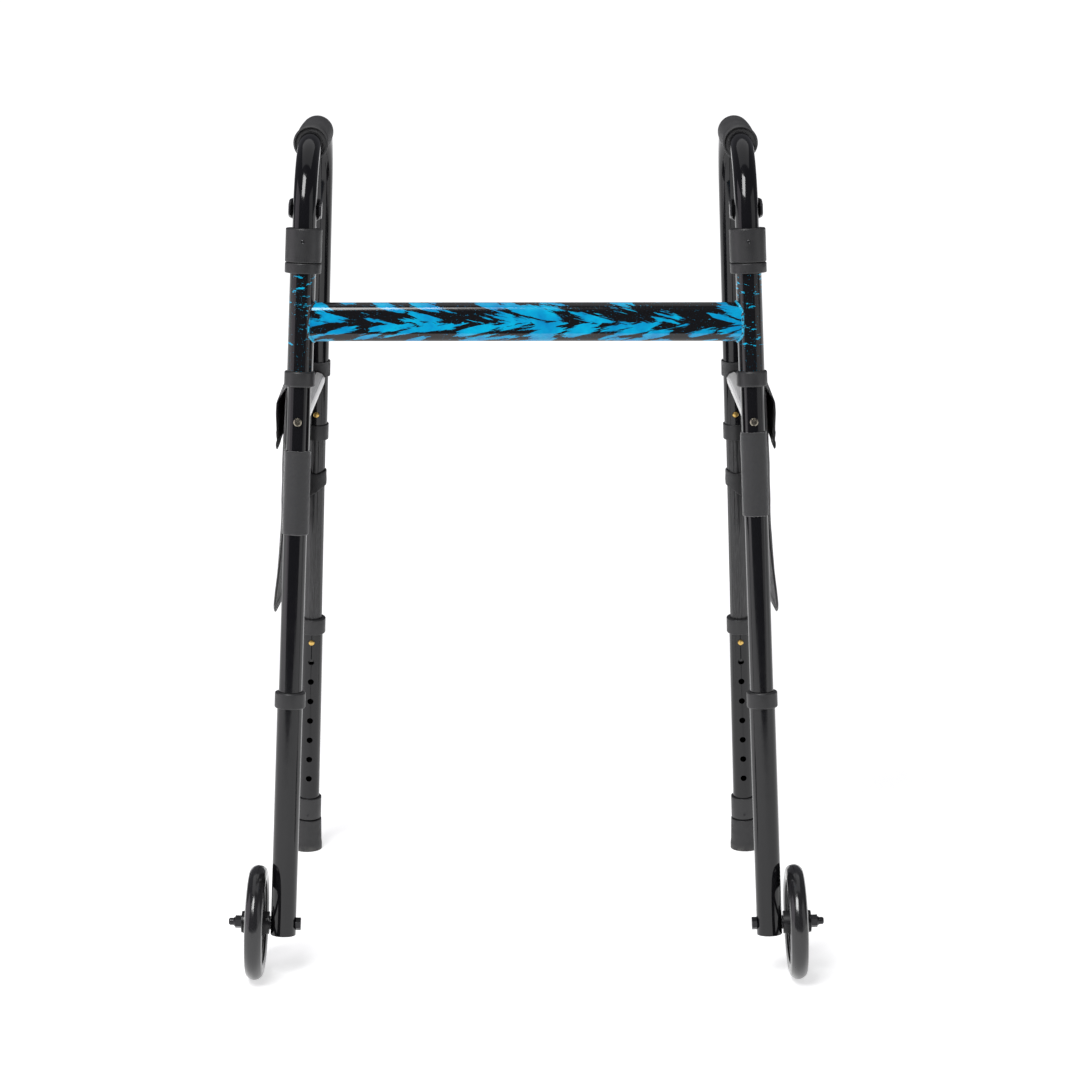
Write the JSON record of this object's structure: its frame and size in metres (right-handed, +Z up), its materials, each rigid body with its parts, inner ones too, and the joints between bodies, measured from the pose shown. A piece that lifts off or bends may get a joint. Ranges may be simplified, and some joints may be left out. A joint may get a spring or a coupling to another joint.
{
  "type": "folding walking frame",
  "caption": "Folding walking frame with front wheels, height-adjustable legs, hand grips, release paddles and side pouches.",
  "frame": {"origin": "on the floor, in the middle of the frame's box", "axes": "+Z up, +X to the user's left, +Y towards the user, wheels at -Y"},
  "size_m": [0.6582, 0.5342, 0.9272],
  "materials": {
    "tube": "glossy black powder coat on aluminium tube",
    "bar": "glossy black with bright blue printed splashes",
    "satin_tube": "satin black, grooved",
    "grip": "soft matte",
    "plastic": "satin moulded black",
    "paddle": "semi-gloss black",
    "steel": "zinc plated",
    "dark_steel": "black oxide",
    "spring_steel": "spring steel",
    "brass": "polished",
    "fabric": "woven black polyester",
    "strap": "black webbing and hook tape",
    "tip_rubber": "matte black",
    "tyre": "smooth, glossy from new",
    "hub": "glossy moulded black",
    "nylon": "natural nylon"
  },
  "bodies": {
    "front_frame": {"cross_bar": "bar", "hinge_sleeves": "bar", "lock_rings": "plastic", "sleeve_collars": "plastic"},
    "left_side_frame": {"left_side_tube": "tube", "left_hand_grip": "grip", "left_lock_housing": "plastic", "left_side_brace": "tube", "left_brace_bolts": "brass", "left_rear_middle_tube": "satin_tube", "left_rear_upper_collar": "plastic", "left_pouch": "fabric", "left_pouch_straps": "strap", "left_button_springs": "spring_steel", "left_paddle_pin": "steel", "left_paddle_spring": "spring_steel"},
    "left_paddle": {"left_release_paddle": "paddle"},
    "left_pin": {"left_lock_pin": "steel"},
    "left_rear_upper_button_body": {"left_rear_upper_button": "brass"},
    "left_rear_lower_button_body": {"left_rear_lower_button": "brass"},
    "left_front_button_body": {"left_front_button": "brass"},
    "left_rear_leg": {"left_rear_lower_tube": "tube", "left_rear_lower_collar": "plastic", "left_foot_ring": "plastic", "left_foot_tip": "tip_rubber"},
    "left_front_leg": {"left_front_extension": "tube", "left_front_collar": "plastic", "left_axle_bolt": "steel", "left_axle_fasteners": "dark_steel"},
    "left_wheel": {"left_wheel_hub": "hub", "left_wheel_tyre": "tyre", "left_wheel_bush": "nylon"},
    "right_side_frame": {"right_side_tube": "tube", "right_hand_grip": "grip", "right_lock_housing": "plastic", "right_side_brace": "tube", "right_brace_bolts": "brass", "right_rear_middle_tube": "satin_tube", "right_rear_upper_collar": "plastic", "right_pouch": "fabric", "right_pouch_straps": "strap", "right_button_springs": "spring_steel", "right_paddle_pin": "steel", "right_paddle_spring": "spring_steel"},
    "right_paddle": {"right_release_paddle": "paddle"},
    "right_pin": {"right_lock_pin": "steel"},
    "right_rear_upper_button_body": {"right_rear_upper_button": "brass"},
    "right_rear_lower_button_body": {"right_rear_lower_button": "brass"},
    "right_front_button_body": {"right_front_button": "brass"},
    "right_rear_leg": {"right_rear_lower_tube": "tube", "right_rear_lower_collar": "plastic", "right_foot_ring": "plastic", "right_foot_tip": "tip_rubber"},
    "right_front_leg": {"right_front_extension": "tube", "right_front_collar": "plastic", "right_axle_bolt": "steel", "right_axle_fasteners": "dark_steel"},
    "right_wheel": {"right_wheel_hub": "hub", "right_wheel_tyre": "tyre", "right_wheel_bush": "nylon"}
  },
  "joints": [
    {"name": "left_fold", "type": "hinge", "parent": "front_frame", "child": "left_side_frame", "pos_m": [0.2713, -0.20904, 0], "axis": [-0.0402, 0.0865, 0.9954], "range_deg": [0, 84]},
    {"name": "left_paddle_pull", "type": "hinge", "parent": "left_side_frame", "child": "left_paddle", "pos_m": [0.23823, -0.11363, 0.81992], "axis": [-0.9992, 0, -0.0403], "range_deg": [0, 20]},
    {"name": "left_pin_lift", "type": "slide", "parent": "left_side_frame", "child": "left_pin", "axis": [-0.0402, 0.0865, 0.9954], "range_m": [0, 0.0028], "stiffness_N_per_m": 400},
    {"name": "left_rear_upper_button_press", "type": "slide", "parent": "left_side_frame", "child": "left_rear_upper_button_body", "axis": [-0.0035, 0.9963, 0.0864], "range_m": [0, 0.0038], "stiffness_N_per_m": 1500, "deforming": ["left_button_springs"]},
    {"name": "left_rear_lower_button_press", "type": "slide", "parent": "left_side_frame", "child": "left_rear_lower_button_body", "axis": [-0.0035, 0.9963, 0.0864], "range_m": [0, 0.0038], "stiffness_N_per_m": 1500, "deforming": ["left_button_springs"]},
    {"name": "left_front_button_press", "type": "slide", "parent": "left_side_frame", "child": "left_front_button_body", "axis": [-0.0035, -0.9963, 0.0864], "range_m": [0, 0.0038], "stiffness_N_per_m": 1500, "deforming": ["left_button_springs"]},
    {"name": "left_rear_height", "type": "slide", "parent": "left_side_frame", "child": "left_rear_leg", "axis": [-0.0402, -0.0865, 0.9954], "range_m": [0, 0.1524]},
    {"name": "left_front_height", "type": "slide", "parent": "left_side_frame", "child": "left_front_leg", "axis": [-0.0402, 0.0865, 0.9954], "range_m": [0, 0.1524]},
    {"name": "left_wheel_spin", "type": "hinge", "parent": "left_front_leg", "child": "left_wheel", "pos_m": [0.29836, -0.20363, 0.06346], "axis": [0.9992, 0, 0.0403], "continuous": true},
    {"name": "right_fold", "type": "hinge", "parent": "front_frame", "child": "right_side_frame", "pos_m": [-0.2713, -0.20904, 0], "axis": [-0.0402, -0.0865, -0.9954], "range_deg": [0, 62]},
    {"name": "right_paddle_pull", "type": "hinge", "parent": "right_side_frame", "child": "right_paddle", "pos_m": [-0.23823, -0.11363, 0.81992], "axis": [-0.9992, 0, 0.0403], "range_deg": [0, 20]},
    {"name": "right_pin_lift", "type": "slide", "parent": "right_side_frame", "child": "right_pin", "axis": [0.0402, 0.0865, 0.9954], "range_m": [0, 0.0028], "stiffness_N_per_m": 400},
    {"name": "right_rear_upper_button_press", "type": "slide", "parent": "right_side_frame", "child": "right_rear_upper_button_body", "axis": [0.0035, 0.9963, 0.0864], "range_m": [0, 0.0038], "stiffness_N_per_m": 1500, "deforming": ["right_button_springs"]},
    {"name": "right_rear_lower_button_press", "type": "slide", "parent": "right_side_frame", "child": "right_rear_lower_button_body", "axis": [0.0035, 0.9963, 0.0864], "range_m": [0, 0.0038], "stiffness_N_per_m": 1500, "deforming": ["right_button_springs"]},
    {"name": "right_front_button_press", "type": "slide", "parent": "right_side_frame", "child": "right_front_button_body", "axis": [0.0035, -0.9963, 0.0864], "range_m": [0, 0.0038], "stiffness_N_per_m": 1500, "deforming": ["right_button_springs"]},
    {"name": "right_rear_height", "type": "slide", "parent": "right_side_frame", "child": "right_rear_leg", "axis": [0.0402, -0.0865, 0.9954], "range_m": [0, 0.1524]},
    {"name": "right_front_height", "type": "slide", "parent": "right_side_frame", "child": "right_front_leg", "axis": [0.0402, 0.0865, 0.9954], "range_m": [0, 0.1524]},
    {"name": "right_wheel_spin", "type": "hinge", "parent": "right_front_leg", "child": "right_wheel", "pos_m": [-0.29836, -0.20363, 0.06346], "axis": [0.9992, 0, -0.0403], "continuous": true}
  ],
  "couplings": [
    {"joint": "left_paddle_pull", "follows": "left_pin_lift", "rad_per_m": 124.6},
    {"joint": "right_paddle_pull", "follows": "right_pin_lift", "rad_per_m": 124.6}
  ]
}
